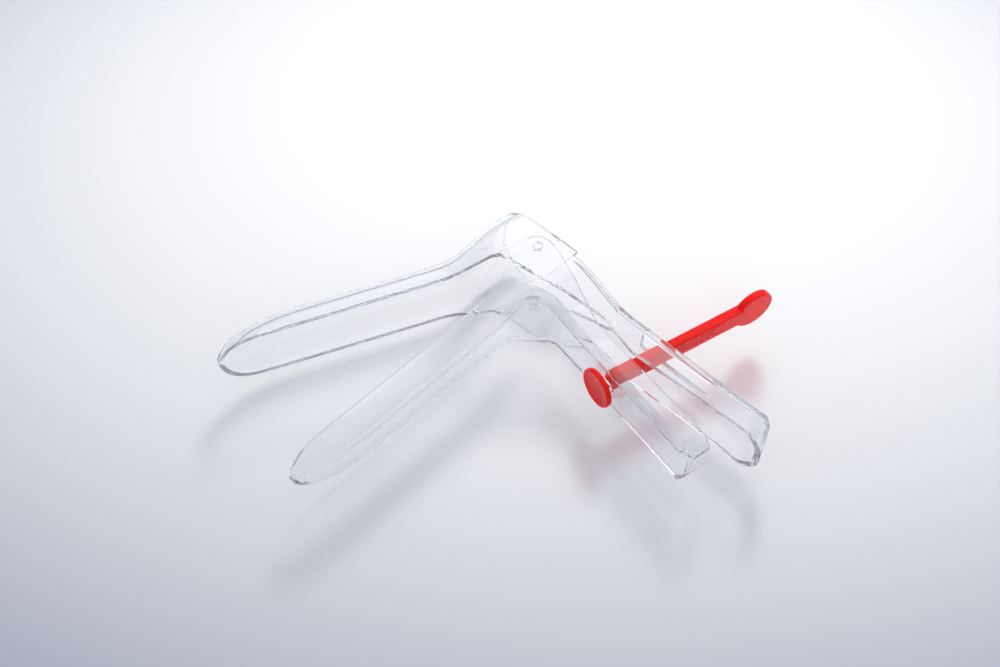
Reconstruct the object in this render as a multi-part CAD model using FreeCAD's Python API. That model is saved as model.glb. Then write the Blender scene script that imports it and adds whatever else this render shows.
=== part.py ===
import FreeCAD, Part
import math
import os

from FreeCAD import Base

# Disposable two-bladed speculum of clear moulded plastic with a coloured locking bar, lying on its side.
# The hinge axis is the line x = y = 0 along +Z. The lower blade points along -X, both handles towards -Y.
# The model is drawn with its symmetry plane at z = 0 and is lifted at the end to lie on z = 0.

# Walls and clearances
WALL = 1.6
LIP_WALL = 2.2
SIDE_CLEARANCE = 0.3
HINGE_CLEARANCE = 0.05
BAR_CLEARANCE = 0.35
SLOT_CLEARANCE = 0.5

# Blades, both of the same length and width
BLADE_LENGTH = 108.4
BLADE_HALF_WIDTH = 11.1
BLADE_TIP_HALF_WIDTH = 10.5
BLADE_CORNER = 6.8
BLADE_ROOT = 9.0
BLADE_FLARE = 24.0
TIP_ROUND_LENGTH = 15.0
TIP_SLOPE_LENGTH = 30.0
TIP_DEPTH = 3.4
TIP_ROUNDNESS = 2.4
TIP_SLOPE_CURVE = 2.2
TIP_END_ANGLE = 88.0
CORNER_SHARE = 0.9

# Lower blade and the ears at its root
LOWER_RIM_DROP = 0.4
LOWER_BLADE_DEPTH = 8.6
RAMP_START = 24.0
RAMP_RADIUS = 20.0
SHOULDER_REACH = 9.0
SHOULDER_RISE = 3.0
SHOULDER_RADIUS = 8.0
EAR_RADIUS = 5.4
EAR_EDGE_DROP = 16.0
EAR_EDGE_INSET = 4.1
EAR_EDGE_RADIUS = 12.0
EAR_CORNER = 5.35
EAR_FLAT = 2.7
EAR_FRONT_RADIUS = 1.6
EAR_RISE = 21.7
EAR_RISE_SPAN = 1.1
EAR_RISE_CURVE = 0.8
EAR_WIDENING = 2.4

# Upper blade, arch and cheeks of the yoke
OPENING_ANGLE = 23.9
UPPER_RIM_RISE = 2.5
UPPER_BLADE_DEPTH = 9.6
RIM_ROOT_RADIUS = 4.8
ARCH_LIFT = 12.8
ARCH_CORNER = 15.6
ARCH_RUN = 32.0
ARCH_BACK = 3.0
ARCH_LEG_LENGTH = 7.0
ARCH_LEG_DROP = 2.9
ARCH_BLANK_BACK = 14.0
CHEEK_HALF_WIDTH = 17.0
CHEEK_BACK = 7.0
CHEEK_FRONT = 8.2
CHEEK_FOOT = 12.5
CHEEK_FOOT_RADIUS = 12.0
CHEEK_FRONT_REACH = 13.5
CHEEK_TOP = 7.1
CHEEK_BLANK_DEPTH = 33.4
PANEL_RAISE = 0.25
PANEL_TOP = 5.5
PANEL_BOTTOM = 11.0

# Hinge studs on the ears
STUD_RADIUS = 1.6
COUNTERSINK_RADIUS = 2.4
COUNTERSINK_DEPTH = 0.5

# Length over which both handles end
HANDLE_END_LENGTH = 20.0

# Front handle, carried by the lower blade
FRONT_HANDLE_LENGTH = 86.0
FRONT_HANDLE_LEAN = 10.6
FRONT_HANDLE_HALF_WIDTH = 9.0
FRONT_HANDLE_DEPTH = 8.1
FRONT_HANDLE_FLARE = 1.9
FRONT_HANDLE_CORNER = 2.6
FRONT_HANDLE_START = 34.0
BEND_END_HALF_WIDTH = 9.5
FRONT_END_CORNER = 4.5
FRONT_END_HEEL = 4.0
FRONT_WEB_AT_HINGE = 7.6
BEND_RADIUS = 10.0
BEND_ROOT_HALF_WIDTH = 12.4

# Rear handle, carried by the upper blade
REAR_HANDLE_LENGTH = 97.0
REAR_HANDLE_BACK = 6.4
REAR_HANDLE_HALF_WIDTH = 8.9
REAR_HANDLE_CORNER = 3.2
REAR_END_FLARE = 0.8
REAR_END_CORNER = 8.4
REAR_END_SLANT = 3.6
REAR_END_HEEL = 4.0
NECK_TOP = 11.0
NECK_BOTTOM = 37.0
NECK_FRONT = 1.8
GRIP_TOP = 46.0
GRIP_FRONT = 5.5
LIP_TOP = 84.0
LIP_FRONT = 3.4
LIP_END_FRONT = 3.6
LIP_RADIUS = 16.0
EDGE_RADIUS = 10.0

# Viewing opening in the yoke
APERTURE_TOP = 10.0
APERTURE_SHOULDER = 11.0
APERTURE_BOTTOM = 32.0
APERTURE_CORNER = 5.0
APERTURE_FOOT_WALL = 2.8

# Locking bar
BAR_DISTANCE = 47.7
BAR_LEAN = 14.3
BAR_LENGTH = 63.5
BAR_WIDTH = 7.1
BAR_THICKNESS = 3.5
BAR_EDGE = 0.5
BAR_HEAD_RADIUS = 6.9
BAR_HEAD_THICKNESS = 1.9
BAR_HEAD_GAP = 1.7
BAR_DISH_RADIUS = 6.3
BAR_DISH_FLAT_RADIUS = 3.0
BAR_DISH_DEPTH = 0.5
BAR_NECK_RADIUS = 1.65
BAR_NECK_LENGTH = 4.1
BAR_PADDLE_RADIUS = 7.4
BAR_PADDLE_THICKNESS = 2.8
TOOTH_PITCH = 2.5
TOOTH_DEPTH = 0.7
TOOTH_START = 6.0
TOOTHED_LENGTH = 36.0
TOOTH_RAIL = 1.1
REAR_SLOT_TOP = 42.5
REAR_SLOT_BOTTOM = 71.5
SLOT_CORNER = 1.5

# Worked out from the sizes above
SIDE_WIDTH = CHEEK_HALF_WIDTH - PANEL_RAISE
EAR_HALF_WIDTH = SIDE_WIDTH - WALL - SIDE_CLEARANCE
NECK_LENGTH = NECK_BOTTOM - NECK_TOP
REAR_END_HALF_WIDTH = REAR_HANDLE_HALF_WIDTH + REAR_END_FLARE
ORIGIN = Base.Vector(0, 0, 0)
UP = Base.Vector(0, 0, 1)

# How far a tool runs past what it cuts or trims, and the counts of sections along the curves
PAST = 3.0
BLANK_OVER = 1.0
SAME_POINT = 1e-6
FAR = 2 * BLADE_LENGTH
SLOPE_STEPS = 4
TIP_STEPS = 11
BEND_STEPS = 12
HANDLE_STEPS = 3
YOKE_STEPS = 10
NECK_STEPS = 8
END_STEPS = 5


def direction(degrees):
    """Unit vector in the symmetry plane at this angle from +X."""
    angle = math.radians(degrees)
    return Base.Vector(math.cos(angle), math.sin(angle), 0)


def blend(low, high, share):
    """Smooth step between two values."""
    share = max(0.0, min(1.0, share))
    ease = share * share * (3 - 2 * share)
    return low + (high - low) * ease


def stations(first, last, steps):
    """Evenly spaced values from first to last, both included."""
    return [first + (last - first) * step / steps for step in range(steps + 1)]


def rounded_wire(points, radii):
    """Closed wire of straight runs through the points, each corner rounded by its own radius."""
    runs = []
    arcs = []
    count = len(points)
    for index, corner in enumerate(points):
        radius = radii[index]
        if radius <= 0:
            runs.append((corner, corner))
            arcs.append(None)
            continue
        to_before = (points[index - 1] - corner).normalize()
        to_after = (points[(index + 1) % count] - corner).normalize()
        half = to_before.getAngle(to_after) / 2
        reach = radius / math.tan(half)
        first = corner + to_before * reach
        last = corner + to_after * reach
        middle_way = (to_before + to_after).normalize()
        middle = corner + middle_way * (radius / math.sin(half) - radius)
        runs.append((first, last))
        arcs.append(Part.Arc(first, middle, last).toShape())
    edges = []
    for index in range(count):
        if arcs[index] is not None:
            edges.append(arcs[index])
        leave = runs[index][1]
        arrive = runs[(index + 1) % count][0]
        if leave.distanceToPoint(arrive) > SAME_POINT:
            edges.append(Part.makeLine(leave, arrive))
    return Part.Wire(edges)


def side_plate(points, radii):
    """Outline in the symmetry plane, drawn through the whole width."""
    face = Part.Face(rounded_wire(points, radii))
    face.translate(UP * -FAR)
    return face.extrude(UP * 2 * FAR)


def trough(bottom, way, height, half_width, corner):
    """Closed U outline: its bottom centre, the way its legs point, their height and the half width."""
    corner = min(corner, CORNER_SHARE * half_width, CORNER_SHARE * height)
    foot = bottom + way * corner
    top = bottom + way * height
    turn = corner * (1 - math.cos(math.radians(45)))
    knee = bottom + way * turn
    flat = half_width - corner
    edges = [
        Part.makeLine(top + UP * half_width, foot + UP * half_width),
        Part.Arc(foot + UP * half_width, knee + UP * (half_width - turn), bottom + UP * flat).toShape(),
        Part.makeLine(bottom + UP * flat, bottom - UP * flat),
        Part.Arc(bottom - UP * flat, knee - UP * (half_width - turn), foot - UP * half_width).toShape(),
        Part.makeLine(foot - UP * half_width, top - UP * half_width),
        Part.makeLine(top - UP * half_width, top + UP * half_width),
    ]
    return Part.Wire(edges)


def blade_width(reach, root_width, wall):
    """Half width of a blade at this distance from the hinge, rounded at its tip."""
    start = BLADE_LENGTH - TIP_ROUND_LENGTH
    if reach > start:
        share = (reach - start) / (TIP_ROUND_LENGTH - wall)
        return (BLADE_TIP_HALF_WIDTH - wall) * math.sqrt(max(0.0, 1 - share ** TIP_ROUNDNESS))
    taper = BLADE_TIP_HALF_WIDTH + (BLADE_HALF_WIDTH - BLADE_TIP_HALF_WIDTH) * (start - reach) / start
    return blend(root_width, taper, (reach - BLADE_ROOT) / BLADE_FLARE) - wall


def blade_depth(reach, depth, wall):
    """Depth of a blade below its rims at this distance from the hinge."""
    start = BLADE_LENGTH - TIP_SLOPE_LENGTH
    share = max(0.0, (reach - start) / (TIP_SLOPE_LENGTH - wall))
    return depth - (depth - TIP_DEPTH) * share ** TIP_SLOPE_CURVE


def tip_reaches(wall):
    """Distances from the hinge of the sections along the slope and round the tip, closer near its end."""
    slope = stations(BLADE_LENGTH - TIP_SLOPE_LENGTH, BLADE_LENGTH - TIP_ROUND_LENGTH, SLOPE_STEPS)[:-1]
    start = BLADE_LENGTH - TIP_ROUND_LENGTH
    length = TIP_ROUND_LENGTH - wall
    turns = stations(0.0, math.radians(TIP_END_ANGLE), TIP_STEPS)
    return slope + [start + length * math.sin(turn) for turn in turns]


def lower_blade_sections(wall):
    """Sections of the lower blade from its tip to where its root starts to widen."""
    over = PAST if wall else BLANK_OVER
    straight = [RAMP_START + BLADE_ROOT - PAST, BLADE_LENGTH / 2]
    sections = []
    for reach in reversed(straight + tip_reaches(wall)):
        depth = blade_depth(reach, LOWER_BLADE_DEPTH, wall)
        bottom = Base.Vector(-reach, wall - LOWER_RIM_DROP - depth, 0)
        half_width = blade_width(reach, BLADE_HALF_WIDTH, wall)
        sections.append(trough(bottom, direction(90), depth - wall + over, half_width, BLADE_CORNER - wall))
    return sections


def bend_sections(wall):
    """Sections round the bend: wide and high at the ears, narrowing from there into the front handle."""
    over = PAST if wall else BLANK_OVER
    lean = direction(-FRONT_HANDLE_LEAN)
    centre_y = -LOWER_RIM_DROP - LOWER_BLADE_DEPTH - BEND_RADIUS
    centre_x = (-FRONT_WEB_AT_HINGE - BEND_RADIUS - centre_y * lean.y) / lean.x
    centre = Base.Vector(centre_x, centre_y, 0)
    root_corner = BLADE_CORNER - wall
    end_corner = FRONT_HANDLE_CORNER - wall / 2
    sections = []
    for share in stations(0.0, 1.0, BEND_STEPS):
        way = direction(90 - (90 + FRONT_HANDLE_LEAN) * share)
        bottom = centre + way * (BEND_RADIUS + wall)
        rise = math.sin(math.pi * min(1.0, share * EAR_RISE_SPAN)) ** EAR_RISE_CURVE
        height = LOWER_BLADE_DEPTH + EAR_RISE * rise + FRONT_HANDLE_DEPTH * share + over
        widen = blend(BEND_ROOT_HALF_WIDTH, EAR_HALF_WIDTH, share * EAR_WIDENING)
        half_width = blend(widen, BEND_END_HALF_WIDTH, share * 2 - 1)
        corner = root_corner + (end_corner - root_corner) * share
        sections.append(trough(bottom, way, height, half_width - wall, corner))
    return sections


def front_handle_sections(wall):
    """Sections down the front handle, which gets deeper towards its end."""
    over = PAST if wall else BLANK_OVER
    lean = direction(-FRONT_HANDLE_LEAN)
    down = direction(-90 - FRONT_HANDLE_LEAN)
    start = FRONT_HANDLE_START + PAST
    sections = []
    for reach in stations(start, FRONT_HANDLE_LENGTH + PAST, HANDLE_STEPS):
        share = (reach - start) / (FRONT_HANDLE_LENGTH - start)
        bottom = lean * (wall - FRONT_WEB_AT_HINGE) + down * reach
        height = FRONT_HANDLE_DEPTH + FRONT_HANDLE_FLARE * share + PAST + over
        corner = FRONT_HANDLE_CORNER - wall / 2
        sections.append(trough(bottom, lean, height, FRONT_HANDLE_HALF_WIDTH - wall, corner))
    return sections


def lower_trough(wall):
    """Body of the lower valve, or with a wall its hollow: blade, bend and front handle in one loft."""
    sections = lower_blade_sections(wall) + bend_sections(wall) + front_handle_sections(wall)
    return Part.makeLoft(sections, True, True)


def handle_end(lean_degrees, length, half_width, corner):
    """Block that keeps all of a valve but what lies outside its handle's rounded end."""
    down = direction(-90 - lean_degrees)
    back = direction(-lean_degrees)
    shoulder = down * (length - HANDLE_END_LENGTH)
    end = down * length
    start = down * -FAR
    points = [
        start + UP * FAR,
        shoulder + UP * FAR,
        shoulder + UP * half_width,
        end + UP * half_width,
        end - UP * half_width,
        shoulder - UP * half_width,
        shoulder - UP * FAR,
        start - UP * FAR,
    ]
    face = Part.Face(rounded_wire(points, [0, 0, 0, corner, corner, 0, 0, 0]))
    face.translate(back * -FAR)
    return face.extrude(back * 2 * FAR)


def front_foot(wall):
    """Space that rounds the heel of the front handle, between its web and its end; with a wall, for the hollow."""
    lean = direction(-FRONT_HANDLE_LEAN)
    down = direction(-90 - FRONT_HANDLE_LEAN)
    web = lean * (wall - FRONT_WEB_AT_HINGE)
    end = down * (FRONT_HANDLE_LENGTH - wall)
    shoulder = down * (FRONT_HANDLE_LENGTH - HANDLE_END_LENGTH)
    far = lean * FAR
    points = [
        far * -1 - down * FAR,
        far * -1 + shoulder,
        web + shoulder,
        web + end,
        far + end,
        far - down * FAR,
    ]
    return side_plate(points, [0, 0, 0, FRONT_END_HEEL - wall, 0, 0])


def lower_outline():
    """Side view of the lower valve: blade rim, round ear and the front handle's back edge."""
    lean = direction(-FRONT_HANDLE_LEAN)
    down = direction(-90 - FRONT_HANDLE_LEAN)
    back_edge = FRONT_HANDLE_DEPTH - FRONT_WEB_AT_HINGE
    handle_top = down * FRONT_HANDLE_START + lean * back_edge
    handle_end_back = down * (FRONT_HANDLE_LENGTH + PAST) + lean * (back_edge + FRONT_HANDLE_FLARE)
    rim = -LOWER_RIM_DROP
    points = [
        Base.Vector(-BLADE_LENGTH - PAST, rim, 0),
        Base.Vector(-RAMP_START, rim, 0),
        Base.Vector(-SHOULDER_REACH, SHOULDER_RISE, 0),
        Base.Vector(-EAR_FLAT, EAR_RADIUS, 0),
        Base.Vector(EAR_RADIUS, EAR_RADIUS, 0),
        Base.Vector(EAR_RADIUS, -EAR_FLAT, 0),
        Base.Vector(EAR_RADIUS - EAR_EDGE_INSET, -EAR_EDGE_DROP, 0),
        handle_top,
        handle_end_back,
        Base.Vector(-BLADE_LENGTH - PAST, handle_end_back.y, 0),
    ]
    ear = [EAR_FRONT_RADIUS, EAR_CORNER, EAR_RADIUS, EAR_EDGE_RADIUS, EAR_EDGE_RADIUS]
    radii = [0, RAMP_RADIUS, SHOULDER_RADIUS] + ear + [0, 0]
    return side_plate(points, radii)


def hinge_studs():
    """Round stud on each ear, through the cheek's hole and flush with its outer face."""
    root = EAR_HALF_WIDTH - WALL / 2
    stud = Part.makeCylinder(STUD_RADIUS, CHEEK_HALF_WIDTH - root, UP * root, UP)
    return [stud, stud.mirror(ORIGIN, UP)]


def hinge_holes():
    """Hole through both cheeks, countersunk on the outside so that the stud snaps in."""
    radius = STUD_RADIUS + HINGE_CLEARANCE
    hole = Part.makeCylinder(radius, 2 * (CHEEK_HALF_WIDTH + PAST), UP * -(CHEEK_HALF_WIDTH + PAST), UP)
    foot = UP * (CHEEK_HALF_WIDTH - COUNTERSINK_DEPTH)
    sink = Part.makeCone(radius, COUNTERSINK_RADIUS, COUNTERSINK_DEPTH, foot, UP)
    return hole.fuse([sink, sink.mirror(ORIGIN, UP)])


def front_slot():
    """Slot of the front web: the bar goes in with its width down the handle, then turns by a quarter."""
    along, below = bar_directions()
    start = below * BAR_DISTANCE
    radius = BAR_THICKNESS / 2 + BAR_CLEARANCE
    straight = (BAR_WIDTH - BAR_THICKNESS) / 2
    first = start - below * straight
    last = start + below * straight
    points = [first + UP * radius, last + UP * radius, last - UP * radius, first - UP * radius]
    face = Part.Face(Part.makePolygon(points + [points[0]]))
    face.translate(along * -BAR_LENGTH)
    slot = face.extrude(along * BAR_LENGTH)
    ends = [Part.makeCylinder(radius, BAR_LENGTH, end - along * BAR_LENGTH, along) for end in (first, last)]
    return slot.fuse(ends)


def lower_valve():
    """Lower blade, ears with their hinge studs, and front handle: one clear moulding."""
    outer_end = handle_end(FRONT_HANDLE_LEAN, FRONT_HANDLE_LENGTH, FRONT_HANDLE_HALF_WIDTH, FRONT_END_CORNER)
    inner_end = handle_end(FRONT_HANDLE_LEAN, FRONT_HANDLE_LENGTH - WALL, FRONT_HANDLE_HALF_WIDTH - WALL,
                           FRONT_END_CORNER - WALL)
    body = lower_trough(0.0).common(lower_outline()).common(outer_end).common(front_foot(0.0))
    body = body.cut(lower_trough(WALL).common(inner_end).common(front_foot(WALL)))
    return body.fuse(hinge_studs()).cut(front_slot()).removeSplitter()


def upper_point(reach, rise):
    """Point at this distance along the upper blade and this height over the hinge line."""
    return direction(180 - OPENING_ANGLE) * reach + direction(90 - OPENING_ANGLE) * rise


def upper_blade(wall):
    """Body of the upper blade with the arch over the hinge, or with a wall its hollow."""
    legs = direction(-90 - OPENING_ANGLE)
    over = PAST if wall else BLANK_OVER
    flare_end = BLADE_ROOT + BLADE_FLARE
    root = [-ARCH_BLANK_BACK] + stations(-ARCH_BLANK_BACK / 2, max(flare_end, ARCH_RUN), YOKE_STEPS)
    sections = []
    for reach in reversed(root + tip_reaches(wall)):
        depth = blade_depth(reach, UPPER_BLADE_DEPTH, wall)
        share = (reach + ARCH_BACK) / ARCH_RUN
        lift = blend(ARCH_LIFT, 0.0, share)
        corner = blend(ARCH_CORNER, BLADE_CORNER, share)
        bottom = upper_point(reach, UPPER_RIM_RISE + depth + lift - wall)
        half_width = blade_width(reach, SIDE_WIDTH, wall)
        legs_down = blend(ARCH_LEG_LENGTH, 0.0, reach / CHEEK_FRONT_REACH)
        height = depth + lift - wall + over + legs_down
        sections.append(trough(bottom, legs, height, half_width, corner - wall))
    return Part.makeLoft(sections, True, True)


def above_hinge():
    """Space over the hinge line, where the arch's legs end inside the cheeks."""
    corner = Base.Vector(-FAR, -ARCH_LEG_DROP, -FAR)
    return Part.makeBox(2 * FAR, FAR, 2 * FAR, corner)


def neck_width(drop):
    """Half width of the cheeks and the rear handle at this distance below the hinge."""
    half_width = blend(SIDE_WIDTH, REAR_HANDLE_HALF_WIDTH, (drop - NECK_TOP) / NECK_LENGTH)
    return half_width + blend(0.0, REAR_END_FLARE, (drop - REAR_HANDLE_LENGTH) / HANDLE_END_LENGTH + 1)


def rear_handle_body(wall):
    """Body of the cheeks and the rear handle, from over the hinge down to the end, or its hollow."""
    drops = [-CHEEK_TOP] + stations(NECK_TOP, NECK_BOTTOM, NECK_STEPS)
    drops += stations(REAR_HANDLE_LENGTH - HANDLE_END_LENGTH, REAR_HANDLE_LENGTH + WALL, END_STEPS)
    sections = []
    for drop in drops:
        back = blend(CHEEK_BACK, REAR_HANDLE_BACK, (drop - NECK_TOP) / NECK_LENGTH)
        bottom = Base.Vector(back - wall, -drop, 0)
        corner = REAR_HANDLE_CORNER - wall / 2
        sections.append(trough(bottom, direction(180), CHEEK_BLANK_DEPTH, neck_width(drop) - wall, corner))
    return Part.makeLoft(sections, True, True)


def upper_outline():
    """Side view of the upper valve: blade rim, cheek and the rear handle's front edge."""
    crown = UPPER_RIM_RISE + UPPER_BLADE_DEPTH + ARCH_LIFT + PAST
    back = CHEEK_BACK
    end = -REAR_HANDLE_LENGTH - PAST
    points = [
        upper_point(BLADE_LENGTH + PAST, UPPER_RIM_RISE),
        upper_point(CHEEK_FRONT_REACH, UPPER_RIM_RISE),
        Base.Vector(-CHEEK_FRONT, -CHEEK_FOOT, 0),
        Base.Vector(-NECK_FRONT, -APERTURE_BOTTOM, 0),
        Base.Vector(-GRIP_FRONT, -GRIP_TOP, 0),
        Base.Vector(-LIP_FRONT, -LIP_TOP, 0),
        Base.Vector(-LIP_END_FRONT, end, 0),
        Base.Vector(REAR_HANDLE_BACK, end, 0),
        Base.Vector(REAR_HANDLE_BACK, -NECK_BOTTOM, 0),
        Base.Vector(back, -NECK_TOP, 0),
        Base.Vector(back, upper_point(0.0, crown).y, 0),
        upper_point(0.0, crown),
        upper_point(BLADE_LENGTH + PAST, crown),
    ]
    radii = [0, RIM_ROOT_RADIUS, CHEEK_FOOT_RADIUS, EDGE_RADIUS, EDGE_RADIUS, LIP_RADIUS]
    return side_plate(points, radii + [0] * (len(points) - len(radii)))


def rear_foot(wall):
    """Space over the slanted foot of the rear handle, its heel rounded; with a wall, for the hollow."""
    slope = REAR_END_SLANT / (REAR_HANDLE_BACK + LIP_END_FRONT)
    back = REAR_HANDLE_BACK - (WALL if wall else 0.0)
    lip = wall - REAR_HANDLE_LENGTH
    points = [
        Base.Vector(-FAR, lip - slope * (FAR - LIP_END_FRONT), 0),
        Base.Vector(back, lip + slope * (back + LIP_END_FRONT), 0),
        Base.Vector(back, -LIP_TOP, 0),
        Base.Vector(FAR, -LIP_TOP, 0),
        Base.Vector(FAR, FAR, 0),
        Base.Vector(-FAR, FAR, 0),
    ]
    return side_plate(points, [0, REAR_END_HEEL - wall / 2, 0, 0, 0, 0])


def cheek_panels(outline):
    """Flat raised panel on the outside of each cheek, between the arch and the neck."""
    corner = Base.Vector(-FAR / 2, -PANEL_BOTTOM, SIDE_WIDTH - WALL / 2)
    panel = Part.makeBox(FAR, PANEL_BOTTOM + PANEL_TOP, PANEL_RAISE + WALL / 2, corner).common(outline)
    return [panel, panel.mirror(ORIGIN, UP)]


def aperture():
    """Viewing opening through the yoke, from the arch down to the handle's root."""
    half = SIDE_WIDTH - WALL
    foot = REAR_HANDLE_HALF_WIDTH - APERTURE_FOOT_WALL
    behind = CHEEK_BACK + PAST
    points = [
        Base.Vector(behind, APERTURE_TOP, half),
        Base.Vector(behind, -APERTURE_SHOULDER, half),
        Base.Vector(behind, -APERTURE_BOTTOM, foot),
        Base.Vector(behind, -APERTURE_BOTTOM, -foot),
        Base.Vector(behind, -APERTURE_SHOULDER, -half),
        Base.Vector(behind, APERTURE_TOP, -half),
    ]
    rounded = APERTURE_CORNER
    face = Part.Face(rounded_wire(points, [0, rounded, rounded, rounded, rounded, 0]))
    return face.extrude(Base.Vector(-behind, 0, 0))


def rear_slot():
    """Long slot of the rear web, in which the bar slides as the handles move."""
    half = BAR_WIDTH / 2 + SLOT_CLEARANCE
    behind = REAR_HANDLE_BACK + PAST
    points = [
        Base.Vector(behind, -REAR_SLOT_TOP, half),
        Base.Vector(behind, -REAR_SLOT_BOTTOM, half),
        Base.Vector(behind, -REAR_SLOT_BOTTOM, -half),
        Base.Vector(behind, -REAR_SLOT_TOP, -half),
    ]
    face = Part.Face(rounded_wire(points, [SLOT_CORNER] * 4))
    return face.extrude(Base.Vector(-behind, 0, 0))


def upper_valve():
    """Upper blade, yoke and rear handle: one clear moulding."""
    outline = upper_outline()
    outer_end = handle_end(0.0, REAR_HANDLE_LENGTH, REAR_END_HALF_WIDTH, REAR_END_CORNER)
    inner_end = handle_end(0.0, REAR_HANDLE_LENGTH - LIP_WALL, REAR_END_HALF_WIDTH - WALL,
                           REAR_END_CORNER - WALL)
    blade = upper_blade(0.0).common(above_hinge())
    handle = rear_handle_body(0.0).common(outer_end).common(rear_foot(0.0))
    hollow = rear_handle_body(WALL).common(inner_end).common(rear_foot(LIP_WALL))
    body = blade.fuse(handle).common(outline)
    body = body.fuse(cheek_panels(outline))
    body = body.cut(upper_blade(WALL)).cut(hollow)
    return body.cut([aperture(), rear_slot(), hinge_holes()]).removeSplitter()


def bar_directions():
    """The way the bar runs, and the way across it down the handles."""
    return direction(-BAR_LEAN), direction(-90 - BAR_LEAN)


def bar_face_centre():
    """Centre of the head's outer face, which leaves the head's gap in front of the front web."""
    along, below = bar_directions()
    start = below * BAR_DISTANCE
    lean = direction(-FRONT_HANDLE_LEAN)
    to_web = (-FRONT_WEB_AT_HINGE - start.dot(lean)) / along.dot(lean)
    return start + along * (to_web - BAR_HEAD_GAP - BAR_HEAD_THICKNESS)


def bar_teeth(shaft_at):
    """Row of saw-tooth notches, sunk between two rails in the face of the shaft that looks to the hinge."""
    along, below = bar_directions()
    half = BAR_WIDTH / 2 - TOOTH_RAIL
    top = shaft_at - below * (BAR_THICKNESS / 2)
    notches = []
    for step in range(int(TOOTHED_LENGTH / TOOTH_PITCH)):
        foot = top + along * (TOOTH_START + TOOTH_PITCH * step)
        tip = foot + along * TOOTH_PITCH
        outline = [foot - below, foot + below * TOOTH_DEPTH, tip, tip - below, foot - below]
        face = Part.Face(Part.makePolygon(outline))
        face.translate(UP * -half)
        notches.append(face.extrude(UP * (2 * half)))
    return notches[0].fuse(notches[1:])


def bar_shaft(shaft_at, length):
    """Flat shaft of the bar with softened long edges."""
    along, below = bar_directions()
    side = UP * (BAR_WIDTH / 2)
    face_up = below * (BAR_THICKNESS / 2)
    points = [
        shaft_at - face_up - side,
        shaft_at + face_up - side,
        shaft_at + face_up + side,
        shaft_at - face_up + side,
    ]
    return Part.Face(rounded_wire(points, [BAR_EDGE] * 4)).extrude(along * length)


def locking_bar():
    """Head disc, round neck, toothed flat shaft and round thumb paddle: one coloured moulding."""
    along, below = bar_directions()
    face_at = bar_face_centre()
    head = Part.makeCylinder(BAR_HEAD_RADIUS, BAR_HEAD_THICKNESS, face_at, along)
    dish = Part.makeCone(BAR_DISH_RADIUS, BAR_DISH_FLAT_RADIUS, BAR_DISH_DEPTH, face_at, along)
    neck_at = face_at + along * (BAR_HEAD_THICKNESS / 2)
    neck = Part.makeCylinder(BAR_NECK_RADIUS, BAR_NECK_LENGTH + BAR_HEAD_THICKNESS, neck_at, along)
    shaft_at = face_at + along * (BAR_HEAD_THICKNESS + BAR_NECK_LENGTH)
    shaft = bar_shaft(shaft_at, BAR_LENGTH - BAR_HEAD_THICKNESS - BAR_NECK_LENGTH)
    paddle_at = face_at + along * BAR_LENGTH - below * (BAR_PADDLE_THICKNESS / 2)
    paddle = Part.makeCylinder(BAR_PADDLE_RADIUS, BAR_PADDLE_THICKNESS, paddle_at, below)
    rims = [edge for edge in paddle.Edges if edge.Curve.TypeId == "Part::GeomCircle"]
    paddle = paddle.makeChamfer(BAR_EDGE, rims)
    bar = head.cut(dish).fuse([neck, shaft, paddle]).removeSplitter()
    return bar.cut(bar_teeth(shaft_at))


def write(name, shape):
    """Lift a solid so that the lower cheek lies on z = 0, and write its file."""
    shape = shape.copy()
    shape.translate(UP * CHEEK_HALF_WIDTH)
    print(name, "solids", len(shape.Solids), "valid", shape.isValid(), "volume", round(shape.Volume, 1))
    shape.exportStep("parts/" + name + ".step")


def main():
    """Write the three mouldings."""
    os.makedirs("parts", exist_ok=True)
    write("lower_valve", lower_valve())
    write("upper_valve", upper_valve())
    write("locking_bar", locking_bar())


main()
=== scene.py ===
"""Bivalve speculum: two clear moulded valves and a red locking bar, lying on a pale table."""

import logging
import math
from dataclasses import dataclass, field
from enum import Enum

import bpy
import numpy as np
from mathutils import Matrix, Vector

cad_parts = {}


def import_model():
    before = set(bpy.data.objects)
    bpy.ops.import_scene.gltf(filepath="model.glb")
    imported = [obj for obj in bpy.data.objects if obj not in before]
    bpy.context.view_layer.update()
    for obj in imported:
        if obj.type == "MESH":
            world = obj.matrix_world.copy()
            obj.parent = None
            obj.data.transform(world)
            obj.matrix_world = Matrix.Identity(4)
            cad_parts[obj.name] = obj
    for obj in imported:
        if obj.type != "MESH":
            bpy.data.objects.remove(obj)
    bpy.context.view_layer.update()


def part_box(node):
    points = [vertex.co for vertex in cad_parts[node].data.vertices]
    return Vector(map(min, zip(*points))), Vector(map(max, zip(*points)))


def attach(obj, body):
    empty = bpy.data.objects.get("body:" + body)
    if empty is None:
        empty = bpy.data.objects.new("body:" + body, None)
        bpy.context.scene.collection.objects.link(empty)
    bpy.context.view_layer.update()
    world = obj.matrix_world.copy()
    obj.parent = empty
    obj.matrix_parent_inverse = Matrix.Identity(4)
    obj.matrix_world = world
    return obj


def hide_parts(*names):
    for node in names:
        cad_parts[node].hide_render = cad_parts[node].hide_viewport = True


LOG = logging.getLogger("speculum")

Colour = tuple[float, float, float, float]
Triple = tuple[float, float, float]
Thing = bpy.types.Object

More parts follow.
